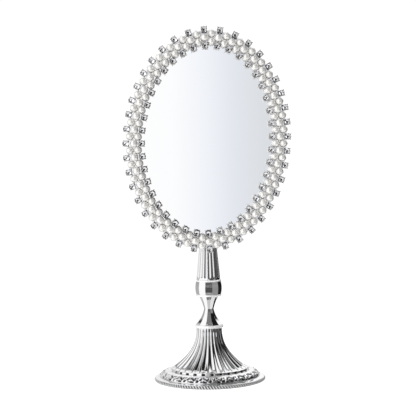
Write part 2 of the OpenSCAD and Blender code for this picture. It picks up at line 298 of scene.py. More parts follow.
@dataclass(frozen=True)
class Felt(Finish):
    """Pressed wool felt: dark, matte and fibrous."""

    name: str = "pressed_wool_felt"
    colour: str = "2c2d30"
    fibre: str = "45464a"
    fibre_mm: float = 0.5

    def dress(self, tree: bpy.types.NodeTree, shader: bpy.types.Node) -> None:
        """Fibre noise in colour and bump, with a little sheen from the nap."""
        fibre = add_node(tree, "ShaderNodeTexNoise", Vector=self.place(tree), Scale=1 / (self.fibre_mm * MM),
                         Detail=6.0)
        tint = blend(tree, fibre.outputs["Fac"], linear(self.colour), linear(self.fibre))
        bump = add_node(tree, "ShaderNodeBump", Height=fibre.outputs["Fac"], Strength=0.6, Distance=0.3 * MM)
        tree.links.new(tint, shader.inputs["Base Color"])
        tree.links.new(bump.outputs[0], shader.inputs["Normal"])
        shader.inputs["Roughness"].default_value = 0.95
        shader.inputs["Sheen Weight"].default_value = 0.3


@dataclass(frozen=True)
class Moulded(Finish):
    """Moulded plastic or board with a fine matt grain."""

    name: str = "moulded_nylon"
    colour: str = "e4e3dd"
    roughness: float = 0.5
    grain_mm: float = 0.4

    def dress(self, tree: bpy.types.NodeTree, shader: bpy.types.Node) -> None:
        """Grain of a spark-eroded mould."""
        grain = add_node(tree, "ShaderNodeTexNoise", Vector=self.place(tree), Scale=1 / (self.grain_mm * MM),
                         Detail=3.0)
        bump = add_node(tree, "ShaderNodeBump", Height=grain.outputs["Fac"], Strength=0.1, Distance=0.1 * MM)
        shader.inputs["Roughness"].default_value = self.roughness
        tree.links.new(bump.outputs[0], shader.inputs["Normal"])


PLATE = SilverPlate()
# Acid-dipped silver scatters so widely that it reads white beside the polished facets.
DIPPED_SILVER = SilverPlate(name="acid_dipped_silver", colour="fbfbfb", roughness=0.2, wave_depth=0.01,
                            metallic=0.3)
FACET_PLATE = SilverPlate(name="polished_silver_facets", roughness=0.05, wave_depth=0.012)
STEEL = TurnedMetal()
BRASS = TurnedMetal(name="turned_brass", colour="c9a25a", roughness=0.26)
NYLON = Moulded()
BOARD = Moulded(name="black_foam_board", colour="1b1c1e", roughness=0.8)
# Painted reflection: each foiled stone's point is coloured dark, which gives the stone the dark spot in its
# middle that a dark surround would give by reflection.
DARK_PAINTED_CULET = FoilBack(name="culet_painted_dark", colour="5c5c60")


# ---- pieces ----


class Piece:
    """A mesh in progress, in millimetres, that becomes one finished object."""

    def __init__(self, name: str, body: Body, slot: str) -> None:
        """Start an empty piece that rides on a body; its slot name is stored but not used."""
        self.name, self.body, self.slot = name, body, slot
        self.mesh = bmesh.new()

    def join(self, other: bmesh.types.BMesh, place: Matrix) -> None:
        """Add a copy of another mesh at a place."""
        scratch = bpy.data.meshes.new("scratch")
        other.to_mesh(scratch)
        scratch.transform(place)
        self.mesh.from_mesh(scratch)
        bpy.data.meshes.remove(scratch)

    def finish(self, finishes: list[Finish], replaced: list[str], crease: float = 35.0,
               recalc: bool = True) -> bpy.types.Object:
        """Turn the mesh into an object in metres and parent it to its body.

        Args:
            finishes: One finish for each material index used in the mesh.
            replaced: CAD nodes that the piece stands for.
            crease: Edges sharper than this many degrees stay hard.
            recalc: Whether to turn all faces outwards first.

        Returns:
            The new object.
        """
        if recalc:
            bmesh.ops.recalc_face_normals(self.mesh, faces=self.mesh.faces)
        for face in self.mesh.faces:
            face.smooth = True
        limit = math.radians(crease)
        for edge in self.mesh.edges:
            edge.smooth = edge.calc_face_angle(math.pi) < limit
        bmesh.ops.scale(self.mesh, vec=(MM, MM, MM), verts=self.mesh.verts)
        data = bpy.data.meshes.new(self.name)
        self.mesh.to_mesh(data)
        self.mesh.free()
        for one in finishes:
            data.materials.append(one.material())
        made = bpy.data.objects.new(self.name, data)
        bpy.context.scene.collection.objects.link(made)
        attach(made, self.body.value)
        if replaced:
            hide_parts(*replaced)
        LOG.info("%s: %d faces on %s", self.name, len(data.polygons), self.body.value)
        return made


def spun(profile: list[tuple[float, float]], steps: int, closed: bool = True) -> bmesh.types.BMesh:
    """Spin a profile of (radius, height) points a full turn about Z.

    Args:
        profile: Points in order; a point on the axis may start or end an open profile.
        steps: Steps round the turn.
        closed: Whether the last point joins the first.

    Returns:
        A mesh with its doubles merged.
    """
    mesh = bmesh.new()
    verts = [mesh.verts.new((r, 0, z)) for r, z in profile]
    pairs = list(zip(verts, verts[1:])) + ([(verts[-1], verts[0])] if closed else [])
    edges = [mesh.edges.new(pair) for pair in pairs]
    bmesh.ops.spin(mesh, geom=verts + edges, axis=(0, 0, 1), cent=(0, 0, 0), angle=FULL_TURN, steps=steps,
                   use_merge=True)
    bmesh.ops.remove_doubles(mesh, verts=mesh.verts, dist=1e-4)
    return mesh


def eased_ring(radius: float, low: float, height: float, bore: float) -> list[tuple[float, float]]:
    """Profile of a flat ring whose edge is a quarter round that looks upwards over a short under-cut.

    Args:
        radius: Radius of the ring's edge.
        low: Height of its underside.
        height: Height of the ring itself.
        bore: Radius of its hole.

    Returns:
        Points of (radius, height), ready to be spun.
    """
    arcs = 10
    bend = 0.72 * height
    under_cut = 0.35 * height
    arc = [math.pi / 2 * i / arcs for i in range(arcs + 1)]
    rim = [(radius - bend + bend * math.cos(a), low + height - bend + bend * math.sin(a)) for a in arc]
    return [(bore, low), (radius - under_cut, low), *rim, (bore, low + height)]


def carve(mesh: bmesh.types.BMesh, height: Callable[[float, float, float], tuple[float, float]]) -> None:
    """Move a turned surface in or out along its normals and note how much painted shade each point gets.

    Args:
        mesh: Turned mesh about Z.
        height: Function of angle, radius and height that returns (rise in mm, painted shade from 0 to 1).
    """
    mesh.normal_update()
    layer = mesh.verts.layers.float.new("painted_shade")
    moves = []
    for vert in mesh.verts:
        x, y, z = vert.co
        rise, painted_shade = height(math.atan2(y, x), math.hypot(x, y), z)
        moves.append((vert, vert.co + vert.normal * rise, painted_shade))
    for vert, place, painted_shade in moves:
        vert.co = place
        vert[layer] = painted_shade


def step(low: float, high: float, x: float) -> float:
    """Smooth step from 0 at low to 1 at high."""
    t = min(1.0, max(0.0, (x - low) / (high - low)))
    return t * t * (3 - 2 * t)


# ---- pedestal ----


@dataclass
class Foot:
    """Spun bell foot: fluted flare, petal ends, leaf border and a rope-twisted edge."""

    rim_r: float = 56.2
    bell_h: float = 53.2
    neck_r: float = 12.9
    flare_r: float = 38.0
    flare_z: float = 13.0
    flare_power: float = 2.4
    dome_z: float = 10.9
    border_r: float = 50.3
    border_z: float = 5.2
    flutes: int = 28
    flute_phase: float = 0.329
    leaves: int = 23
    leaf_phase: float = 0.697
    fillet_r: float = 41.0
    bead: float = 0.8
    swell: float = 0.45
    leaf_cut: float = 1.3
    flute_depth: float = 0.2
    pit_depth: float = 1.25
    bore: float = 3.4
    twists: int = 123
    strand_depth: float = 0.8
    steps: int = 672

    def flare(self, z: float) -> float:
        """Radius of the flare at a height."""
        share = (self.bell_h - z) / (self.bell_h - self.flare_z)
        return self.neck_r + (self.flare_r - self.neck_r) * share ** self.flare_power

    def profile(self) -> list[tuple[float, float]]:
        """Outline of the sheet metal, outside and then inside."""
        levels, bend = 34, 52
        drops = [(self.bell_h - self.flare_z) * (i / levels) ** 0.8 for i in range(levels + 1)]
        flare = [(self.flare(self.bell_h - drop), self.bell_h - drop) for drop in drops]
        petal_edge = [(self.flare_r + out, self.flare_z - down) for out, down in
                      ((0.3, 0.06), (0.55, 0.22), (0.72, 0.5), (0.8, 0.9), (0.82, 1.35), (0.86, 1.85))]
        dome = [(self.flare_r + (self.border_r - self.flare_r) * math.sin(a),
                 self.border_z + (self.dome_z - self.border_z) * math.cos(a))
                for a in (math.pi / 2 * i / bend for i in range(3, bend))]
        rim = [(50.5, 4.9), (51.0, 4.7), (52.4, 4.45), (53.8, 4.2), (54.6, 4.05), (54.9, 3.9), (55.0, 3.7),
               (54.7, 3.5)]
        inside = [(52.6, 3.2), (self.border_r - 3, self.border_z - 0.8), (self.flare_r + 4, 8.5),
                  (self.flare_r - 3, 10.0), (30.0, 12.4), (22.0, 20.0), (15.5, 31.0),
                  (self.neck_r - 2.6, 42.0), (self.neck_r - 3.0, 49.2), (self.bore, 49.2),
                  (self.bore, self.bell_h)]
        return flare + petal_edge + dome + rim + inside

    def leaf(self, u: float, v: float) -> float:
        """Depth, from 0 to 1, of the cuts between the lobes of one leaf.

        Args:
            u: Place across the leaf, from -0.5 to 0.5.
            v: Place from the inner edge of the border, 0, to its outer edge, 1.

        Returns:
            The depth of the cut.
        """
        strokes = [((-0.05, 0.84), (0.04, 0.90), 0.115), ((-0.10, 0.34), (0.06, 0.50), 0.085),
                   ((0.14, 0.70), (0.27, 0.34), 0.05), ((0.40, 0.86), (0.46, 0.66), 0.065),
                   ((-0.36, 0.62), (-0.26, 0.30), 0.05), ((-0.27, 0.88), (-0.22, 0.78), 0.04),
                   ((0.40, 0.42), (0.44, 0.28), 0.035)]
        depth = 0.0
        for (u0, v0), (u1, v1), width in strokes:
            du, dv = u1 - u0, v1 - v0
            along = min(1.0, max(0.0, ((u - u0) * du + (v - v0) * dv) / (du * du + dv * dv)))
            gap = math.hypot(u - u0 - along * du, (v - v0 - along * dv) * 0.8)
            depth = max(depth, 1 - step(width * 0.55, width * 1.3, gap))
        return depth

    def relief(self, angle: float, r: float, z: float) -> tuple[float, float]:
        """Rise and painted shade of the bell at a point of its turned outline."""
        neck_or_rim = z > self.bell_h - 0.4 or r < self.neck_r - 0.5 or z < 4.0
        if neck_or_rim:
            return 0.0, 0.0
        # Inside the flare and under its edge the plating gets an even painted shade.
        inside_flare = r < self.flare(max(z, self.flare_z)) - 1.4
        under_edge = r > 30 and z < self.flare_z - 0.1 and r < self.flare_r + 0.01
        if inside_flare or under_edge:
            return 0.0, 0.4
        leaf_start = self.fillet_r + self.bead
        if r < self.fillet_r - self.bead / 2:
            return self.flute((angle / FULL_TURN * self.flutes + self.flute_phase) % 1 - 0.5, r, z)
        if r < leaf_start:
            return 0.3 * math.cos((r - self.fillet_r - 0.2) / 0.6 * math.pi / 2), 0.0
        # Painted shade along the border's outer edge, fading out over 0.6 mm.
        if r > self.border_r - 0.01:
            return 0.0, 0.3 * (1 - step(self.border_r, self.border_r + 0.6, r))
        start = math.asin((leaf_start - self.flare_r) / (self.border_r - self.flare_r))
        bend = math.asin((r - self.flare_r) / (self.border_r - self.flare_r))
        v = 1.06 * (bend - start) / (math.pi / 2 - start)
        u = (angle / FULL_TURN * self.leaves + self.leaf_phase) % 1 - 0.5
        cut = self.leaf(u, v) * step(0.0, 0.12, v) * (1 - step(0.94, 1.0, v))
        swell = self.swell * math.cos(u * math.pi) ** 2 * math.sin(math.pi * min(1, max(0, v)))
        # The leaf cuts get painted shade as deep as they are cut.
        return swell - self.leaf_cut * cut, cut

    def flute(self, u: float, r: float, z: float) -> tuple[float, float]:
        """Rise and painted shade of one flute, its rounded end and the scooped pit beneath it.

        Args:
            u: Place across the flute, from -0.5 to 0.5.
            r: Radius of the point.
            z: Height of the point.

        Returns:
            The rise in mm and the painted shade from 0 to 1.
        """
        pitch = FULL_TURN * r / self.flutes
        across = math.hypot(u, max(0.0, r - 34.0) / 8.0)
        trough = step(0.2, 2.0, self.bell_h - z) * (0.5 + 0.5 * math.cos(math.pi * min(1.0, across / 0.47)))
        on_edge = r > self.flare_r + 0.4
        pit_gap = math.hypot(u / 0.21, (z - 11.8) / 1.5, max(0.0, r - 39.0) / 1.6)
        pit = 1 - step(0.6, 1.05, pit_gap) if on_edge else 0.0
        lip = math.exp(-((r - 37.6) / 0.6) ** 2)
        seam = step(0.36, 0.49, abs(u)) * step(0.0, 1.0, 37.9 - r)
        rise = 0.3 * lip - self.flute_depth * pitch * trough ** 0.8 - self.pit_depth * pit - 0.12 * seam
        # Painted shade in the troughs, in the pits and along the seams between flutes.
        return rise, max(0.2 * trough ** 3, pit, 0.8 * seam)

    def build(self) -> None:
        """Make the bell and its rope edge."""
        bell = Piece("fluted_bell", Body.STAND, "silver_plate")
        mesh = spun(self.profile(), self.steps)
        bmesh.ops.recalc_face_normals(mesh, faces=mesh.faces)
        carve(mesh, self.relief)
        bell.mesh = mesh
        bell.finish([PLATE], ["foot_bell"], crease=50, recalc=False)
        self.rope()

    def rope(self) -> None:
        """Ring under the rim with a right-hand twist pressed into it."""
        rope = Piece("rope_edge", Body.STAND, "silver_plate")
        ring_r, ring_z, thick = self.rim_r - 2.1, 2.0, 2.0
        sides, strand_steps = 14, 8
        profile = [(ring_r + thick * math.cos(a), ring_z + 0.95 * thick * math.sin(a))
                   for a in (FULL_TURN * i / sides for i in range(sides))]
        mesh = spun(profile, self.twists * strand_steps)
        bmesh.ops.recalc_face_normals(mesh, faces=mesh.faces)

        def twist(angle: float, r: float, z: float) -> tuple[float, float]:
            """Rise of the rope's strands and the painted shade in the grooves between them."""
            around = math.atan2(z - ring_z, r - ring_r)
            wave = 0.5 - 0.5 * math.cos(self.twists * angle + 2 * around)
            # Painted shade in the grooves between the strands.
            return -self.strand_depth * wave ** 1.2, step(0.34, 0.5, wave)

        carve(mesh, twist)
        rope.mesh = mesh
        rope.finish([DIPPED_SILVER], [], crease=80, recalc=False)


@dataclass
class Stem:
    """Turned and faceted pieces between the foot and the head."""

    collar_z: float = 53.2
    collar_h: float = 3.3
    collar_r: float = 14.7
    spool_z: float = 56.5
    spool_h: float = 28.5
    waist_r: float = 4.9
    waist_share: float = 0.55
    spool_foot_r: float = 13.9
    spool_top_r: float = 10.2
    bead_h: float = 2.0
    bead_r: float = 13.1
    knop_h: float = 12.8
    knop_r: float = 13.7
    knop_bulge: float = 0.9
    column_r: float = 12.0
    column_taper: float = 0.095
    column_h: float = 34.0
    column_flutes: int = 18
    facets: int = 12
    facet_turn: float = 14.0
    flute_turn: float = 4.0
    bore: float = 3.3

    def ring(self, name: str, node: str, radius: float, low: float, height: float) -> None:
        """Make a ring with an eased upper edge."""
        piece = Piece(name, Body.STAND, "silver_plate")
        piece.mesh = spun(eased_ring(radius, low, height, self.bore), 96)
        piece.finish([DIPPED_SILVER], [node])

    def faceted(self, name: str, node: str, rings: list[tuple[float, float]]) -> None:
        """Make a faceted piece by extruding a polygon through its rings.

        Args:
            name: Name of the piece.
            node: CAD node that it stands for.
            rings: (height, corner radius) from the bottom up.
        """
        piece = Piece(name, Body.STAND, "silver_plate")
        mesh = piece.mesh
        turn = Matrix.Rotation(math.radians(self.facet_turn), 4, "Z")
        bmesh.ops.create_circle(mesh, cap_ends=False, segments=self.facets, radius=rings[0][1],
                                matrix=Matrix.Translation((0, 0, rings[0][0])) @ turn)
        edges = list(mesh.edges)
        low_edges = list(edges)
        for (_, r0), (z1, r1) in zip(rings, rings[1:]):
            out = bmesh.ops.extrude_edge_only(mesh, edges=edges)["geom"]
            verts = [g for g in out if isinstance(g, bmesh.types.BMVert)]
            edges = [g for g in out if isinstance(g, bmesh.types.BMEdge)]
            edges = [e for e in edges if all(v in verts for v in e.verts)]
            for vert in verts:
                vert.co.x *= r1 / r0
                vert.co.y *= r1 / r0
                vert.co.z = z1
        uprights = [e for e in mesh.edges if abs(e.verts[0].co.z - e.verts[1].co.z) > 1e-6]
        bmesh.ops.contextual_create(mesh, geom=edges)
        bmesh.ops.contextual_create(mesh, geom=low_edges)
        bmesh.ops.bevel(mesh, geom=uprights, offset=0.16, offset_type="OFFSET", affect="EDGES", segments=2,
                        profile=0.5, material=-1, clamp_overlap=True)
        piece.finish([FACET_PLATE], [node], crease=6)

    def spool(self) -> None:
        """Make the waisted spool: two flares that meet at a crisp crease."""
        low_h = self.waist_share * self.spool_h
        high_h = self.spool_h - low_h
        waist = self.spool_z + low_h
        low_spread, high_spread = self.spool_foot_r - self.waist_r, self.spool_top_r - self.waist_r
        shares = [i / 16 for i in range(17)]
        low = [(waist - low_h * u, self.waist_r + low_spread * (0.4 * u + 0.6 * u ** 2.5))
               for u in reversed(shares)]
        high = [(waist + high_h * u, self.waist_r + high_spread * (0.69 * u + 0.31 * u ** 3))
                for u in shares[1:]]
        self.faceted("waisted_spool", "waist_spool", low + high)

    def knop(self) -> None:
        """Make the convex knop between the two bead rings."""
        low = self.spool_z + self.spool_h + self.bead_h
        shares = [i / 5 for i in range(6)]
        rings = [(low + self.knop_h * u, self.knop_r - self.knop_bulge * (2 * u - 1) ** 2) for u in shares]
        self.faceted("faceted_barrel", "faceted_knop", rings)

    def column(self) -> None:
        """Make the tapering column with round-ended flutes."""
        low = self.spool_z + self.spool_h + 2 * self.bead_h + self.knop_h
        top = low + self.column_h
        levels = 60
        rises = [self.column_h * i / levels for i in range(levels + 1)]
        skin = [(self.column_r - self.column_taper * rise, low + rise) for rise in rises]
        mesh = spun([(self.bore, low), *skin, (self.bore, top)], self.column_flutes * 14)
        bmesh.ops.recalc_face_normals(mesh, faces=mesh.faces)
        count, turn = self.column_flutes, math.radians(self.flute_turn)

        def flute(angle: float, r: float, z: float) -> tuple[float, float]:
            """Rise and painted shade of the flutes, which end in half rounds."""
            if r < self.bore + 1 or z < low + 0.1 or z > top - 0.1:
                return 0.0, 0.0
            u = abs(((angle - turn) / FULL_TURN * count) % 1 - 0.5) * FULL_TURN * r / count
            half = 0.43 * FULL_TURN * r / count
            end = max(0.0, (low + 1.2 + half) - z, z - (top - 1.6 - half))
            away = math.hypot(u, end) / half
            if away > 1:
                return 0.0, 0.0
            # Painted shade, deepest in the middle of each flute.
            return -0.55 * half * (0.5 + 0.5 * math.cos(math.pi * away)), 0.45 * (1 - away) ** 2

        carve(mesh, flute)
        piece = Piece("fluted_shaft", Body.STAND, "silver_plate")
        piece.mesh = mesh
        piece.finish([PLATE], ["fluted_column"], crease=42, recalc=False)

    def build(self) -> None:
        """Make every piece of the stem."""
        self.ring("collar_ring", "collar_disc", self.collar_r, self.collar_z, self.collar_h)
        self.spool()
        under = self.spool_z + self.spool_h
        self.ring("lower_bead", "lower_bead_ring", self.bead_r, under, self.bead_h)
        self.knop()
        above = under + self.bead_h + self.knop_h
        self.ring("upper_bead", "upper_bead_ring", self.bead_r, above, self.bead_h)
        self.column()


# ---- head ----


@dataclass
class Oval:
    """The line that the centre pearls follow, and the places of the bead rows along it."""

    half_w: float = 71.6
    half_h: float = 100.2
    centre_z: float = 241.2
    lean: float = 3.5
    rows: int = 80
    pair_off: float = 3.9
    arc_steps: int = 360

    def __post_init__(self) -> None:
        """Measure the inner pearls' oval, which sets the even spacing of the rows."""
        self.arc = [0.0]
        for i in range(self.arc_steps):
            self.arc.append(self.arc[-1] + (self.point(i + 1) - self.point(i)).length)

    def point(self, i: float) -> Vector:
        """Point number i of the inner pearls' oval."""
        turn = FULL_TURN * i / self.arc_steps
        return Vector(((self.half_w - self.pair_off) * math.cos(turn),
                       (self.half_h - self.pair_off) * math.sin(turn)))

    def turn_at(self, row: float) -> float:
        """Angle of a bead row in the oval's own parameter."""
        want = (row % self.rows) * self.arc[-1] / self.rows
        i = max(1, bisect_left(self.arc, want))
        share = (want - self.arc[i - 1]) / (self.arc[i] - self.arc[i - 1])
        return FULL_TURN * (i - 1 + share) / self.arc_steps

    def head(self, depth: float) -> Matrix:
        """Frame of the head at a depth along Y: x across, y up the oval, z forward."""
        lean = Matrix.Rotation(math.radians(self.lean), 4, "Y")
        upright = Matrix.Rotation(math.pi / 2, 4, "X")
        return Matrix.Translation((0, depth, self.centre_z)) @ lean @ upright

    def at_row(self, row: float, depth: float) -> Matrix:
        """Frame of a bead row: x points outwards, y along the rim, z forward."""
        turn = self.turn_at(row)
        normal = math.atan2(self.half_w * math.sin(turn), self.half_h * math.cos(turn))
        place = Matrix.Translation((self.half_w * math.cos(turn), self.half_h * math.sin(turn), 0))
        return self.head(depth) @ place @ Matrix.Rotation(normal, 4, "Z")


@dataclass
class Beadwork:
    """Drilled pearls and claw-set stones wired round the oval."""

    oval: Oval
    pearl_r: float = 3.85
    hole_r: float = 0.55
    slack: tuple[float, float, float] = (0.04, 0.09, 0.12)
    pearl_y: float = -23.85
    dome: float = 1.3
    stone_off: float = 7.3
    splay: float = 10.0
    stone_r: float = 3.1
    cup_h: float = 3.0
    cup_base: float = 2.1
    cup_top: float = 3.25
    gallery: float = 0.6
    prong_w: float = 0.8
    seed: int = 7

    def pearl(self) -> bmesh.types.BMesh:
        """One pearl with its hole along x."""
        arcs, steps = 11, 20
        start = math.asin(self.hole_r / self.pearl_r)
        arc = [start + (math.pi - 2 * start) * i / arcs for i in range(arcs + 1)]
        mesh = spun([(self.pearl_r * math.sin(a), self.pearl_r * math.cos(a)) for a in arc], steps)
        bmesh.ops.rotate(mesh, verts=mesh.verts, cent=(0, 0, 0), matrix=Matrix.Rotation(math.pi / 2, 3, "Y"))
        return mesh

    def pearls(self, row: Row, name: str, node: str) -> None:
        """Make one row of pearls, each turned and pulled a hair out of line by its wire.

        Args:
            row: Which row across the rim.
            name: Name of the piece.
            node: CAD node that it stands for.
        """
        draw = random.Random(self.seed + row.value)
        piece = Piece(name, Body.HEAD, "pearl")
        one = self.pearl()
        first = 1 if row is Row.CENTRE else 0
        depth = self.pearl_y - (self.dome if row is Row.CENTRE else 0)
        for number in range(first, self.oval.rows, 2):
            outwards = Matrix.Translation((row.value * self.oval.pair_off, 0, 0))
            place = self.oval.at_row(number, depth) @ outwards
            nudge = Matrix.Translation([draw.uniform(-most, most) for most in self.slack])
            yaw = Matrix.Rotation(draw.uniform(-0.12, 0.12), 4, "Z")
            roll = Matrix.Rotation(draw.uniform(0, FULL_TURN), 4, "X")
            size = Matrix.Scale(draw.uniform(0.985, 1.0), 4)
            piece.join(one, place @ nudge @ yaw @ roll @ size)
        one.free()
        piece.finish([Nacre()], [node], crease=60)

    def stone(self) -> bmesh.types.BMesh:
        """One round brilliant: table, star and kite facets over a foiled pavilion."""
        mesh = bmesh.new()
        sides = 8

        def ring(radius: float, z: float, count: int, shift: float) -> list[bmesh.types.BMVert]:
            """Ring of points on one level of the stone."""
            return [mesh.verts.new((radius * math.cos(a), radius * math.sin(a), z))
                    for a in (FULL_TURN * (i + shift) / count for i in range(count))]

        base = self.cup_h
        table = ring(0.56 * self.stone_r, base + 1.4, sides, 0)
        shoulder = ring(0.80 * self.stone_r, base + 0.95, sides, 0.5)
        girdle = ring(self.stone_r, base + 0.32, 2 * sides, 0)
        belt = ring(self.stone_r, base + 0.06, 2 * sides, 0)
        keel = ring(0.95, base - 1.25, sides, 0)
        mesh.faces.new(table)
        for i in range(sides):
            j, k = (i + 1) % sides, 2 * i
            mesh.faces.new((table[i], shoulder[i], table[j]))
            mesh.faces.new((table[i], shoulder[i - 1], girdle[k], shoulder[i]))
            mesh.faces.new((shoulder[i], girdle[k], girdle[k + 1]))
            mesh.faces.new((shoulder[i], girdle[k + 1], girdle[(k + 2) % (2 * sides)]))
            for foil in (mesh.faces.new((belt[k], belt[k + 1], keel[i])),
                         mesh.faces.new((belt[k + 1], belt[(k + 2) % (2 * sides)], keel[j])),
                         mesh.faces.new((belt[k + 1], keel[j], keel[i]))):
                foil.material_index = 1
        for i in range(2 * sides):
            j = (i + 1) % (2 * sides)
            mesh.faces.new((girdle[i], girdle[j], belt[j], belt[i]))
        # The stone's point takes the dark colour of the painted reflection.
        mesh.faces.new(keel).material_index = 2
        bmesh.ops.recalc_face_normals(mesh, faces=mesh.faces)
        return mesh

    def cup(self) -> bmesh.types.BMesh:
        """One square claw cup: a low tapered gallery and four claws bent over the stone."""
        mesh = bmesh.new()
        wall_top = self.cup_h * self.gallery
        top_half = self.cup_base + (self.cup_top - self.cup_base) * self.gallery
        bmesh.ops.create_cube(mesh, size=1.0)
        for vert in mesh.verts:
            high = vert.co.z > 0
            half, z = (top_half, wall_top) if high else (self.cup_base, 0.0)
            vert.co = Vector((math.copysign(half, vert.co.x), math.copysign(half, vert.co.y), z))
        top = max(mesh.faces, key=lambda f: f.calc_center_median().z)
        bmesh.ops.inset_region(mesh, faces=[top], thickness=0.3, depth=0.0, use_even_offset=True)
        bmesh.ops.translate(mesh, verts=top.verts, vec=(0, 0, 0.4 - wall_top))
        bmesh.ops.scale(mesh, verts=top.verts, vec=(0.8, 0.8, 1.0))
        # Painted shade: the cup's foot gets the most, the rest of the cup a little.
        layer = mesh.verts.layers.float.new("painted_shade")
        for vert in mesh.verts:
            vert[layer] = 0.6 if vert.co.z < 0.1 else 0.2
        for corner in range(4):
            self.claw(mesh, math.pi / 4 + corner * math.pi / 2)
        bmesh.ops.recalc_face_normals(mesh, faces=mesh.faces)
        return mesh

    def claw(self, mesh: bmesh.types.BMesh, turn: float) -> None:
        """Add a claw that rises from a corner of the cup and bends in over the crown."""
        reach = self.cup_top * math.sqrt(2) - 0.45
        low = self.cup_base * math.sqrt(2) - 0.2
        path = [(low, 0.2, 1.0), (reach - 0.15, self.cup_h, 0.9), (reach - 0.3, self.cup_h + 0.65, 0.8),
                (reach - 1.15, self.cup_h + 0.95, 0.5)]
        made = bmesh.ops.create_circle(mesh, cap_ends=True, segments=6, radius=0.5 * self.prong_w,
                                       matrix=Matrix.Translation((path[0][0], 0, path[0][1])))
        new = list(made["verts"])
        face = new[0].link_faces[0]
        for (r0, _, s0), (r1, z1, s1) in zip(path, path[1:]):
            extruded = bmesh.ops.extrude_discrete_faces(mesh, faces=[face])["faces"]
            face = extruded[0]
            for vert in face.verts:
                vert.co = Vector((r1 + (vert.co.x - r0) * s1 / s0, vert.co.y * s1 / s0, z1))
            new += list(face.verts)
        bmesh.ops.rotate(mesh, verts=new, cent=(0, 0, 0), matrix=Matrix.Rotation(turn, 3, "Z"))

    def settings(self, row: Row, label: str) -> None:
        """Make the cups and the stones of the outer or the inner row."""
        draw = random.Random(self.seed + 40 + row.value)
        cups = Piece(f"{label}_claw_cups", Body.HEAD, "silver_plate")
        stones = Piece(f"{label}_brilliants", Body.HEAD, "stone")
        cup, stone = self.cup(), self.stone()
        for number in range(1, self.oval.rows, 2):
            outwards = Matrix.Translation((row.value * self.stone_off, 0, 0))
            place = self.oval.at_row(number, self.pearl_y) @ outwards
            lean = Matrix.Rotation(math.radians(row.value * self.splay + draw.uniform(-3, 3)), 4, "Y")
            twist = Matrix.Rotation(math.radians(draw.uniform(-5, 5)), 4, "Z")
            cups.join(cup, place @ lean @ twist)
            stones.join(stone, place @ lean @ twist @ Matrix.Rotation(draw.uniform(0, FULL_TURN), 4, "Z"))
        cup.free()
        stone.free()
        cups.finish([PLATE], [f"{label}_cups"], crease=30)
        stones.finish([CutCrystal(), FoilBack(), DARK_PAINTED_CULET], [f"{label}_stones"], crease=1, recalc=False)

    def build(self) -> None:
        """Make all the beadwork."""
        self.pearls(Row.OUTER, "outer_pearl_row", "outer_pearls")
        self.pearls(Row.CENTRE, "centre_pearl_row", "centre_pearls")
        self.pearls(Row.INNER, "inner_pearl_row", "inner_pearls")
        self.settings(Row.OUTER, "outer")
        self.settings(Row.INNER, "inner")


@dataclass
class Glass:
    """Oval glass, silvered on the back."""

    oval: Oval
    back_y: float = -14.5
    thickness: float = 3.0
    inside_pearls: float = 2.5
    arris: float = 0.5

    def build(self) -> None:
        """Make the glass with a fine arris ground on its front edge."""
        piece = Piece("silvered_oval", Body.HEAD, "mirror")
        mesh = piece.mesh
        made = bmesh.ops.create_circle(mesh, cap_ends=True, segments=144, radius=1.0)
        half_w, half_h = self.oval.half_w - self.inside_pearls, self.oval.half_h - self.inside_pearls
        bmesh.ops.scale(mesh, verts=made["verts"], vec=(half_w, half_h, 1))
        out = bmesh.ops.extrude_face_region(mesh, geom=list(mesh.faces))["geom"]
        raised = [g for g in out if isinstance(g, bmesh.types.BMVert)]
        bmesh.ops.translate(mesh, verts=raised, vec=(0, 0, self.thickness))
        front = max(mesh.faces, key=lambda f: f.calc_center_median().z)
        bmesh.ops.bevel(mesh, geom=list(front.edges), offset=self.arris, offset_type="OFFSET", affect="EDGES",
                        segments=1, profile=0.5, material=-1, clamp_overlap=True)
        bmesh.ops.transform(mesh, matrix=self.oval.head(self.back_y), verts=mesh.verts)
        piece.finish([SilveredGlass()], ["mirror_glass"], crease=20)


class PlainParts:
    """CAD pieces whose shape is kept, with the finish that each really has."""

    finishes: dict[str, Finish] = {
        "felt_pad": Felt(), "base_plate": STEEL, "rod_nut": STEEL, "rod_washer": STEEL, "tie_rod": STEEL,
        "socket_bush": BRASS, "thrust_washer": NYLON, "swivel_post": PLATE, "snap_ring": STEEL,
        "hinge_bracket": PLATE, "bracket_rivets": STEEL, "hinge_washers": NYLON, "tilt_pin": PLATE,
        "cap_nut": PLATE, "back_cover": SatinBack(), "cover_screws": STEEL, "backing_pad": BOARD,
        "frame_ring": PLATE, "pair_wires": PLATE, "single_wires": PLATE,
    }

    def build(self) -> None:
        """Dress each kept piece."""
        for name, finish in self.finishes.items():
            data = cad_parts[name].data
            data.materials.clear()
            data.materials.append(finish.material())
            LOG.info("%s: dressed in %s", name, finish.name)


# ---- studio ----


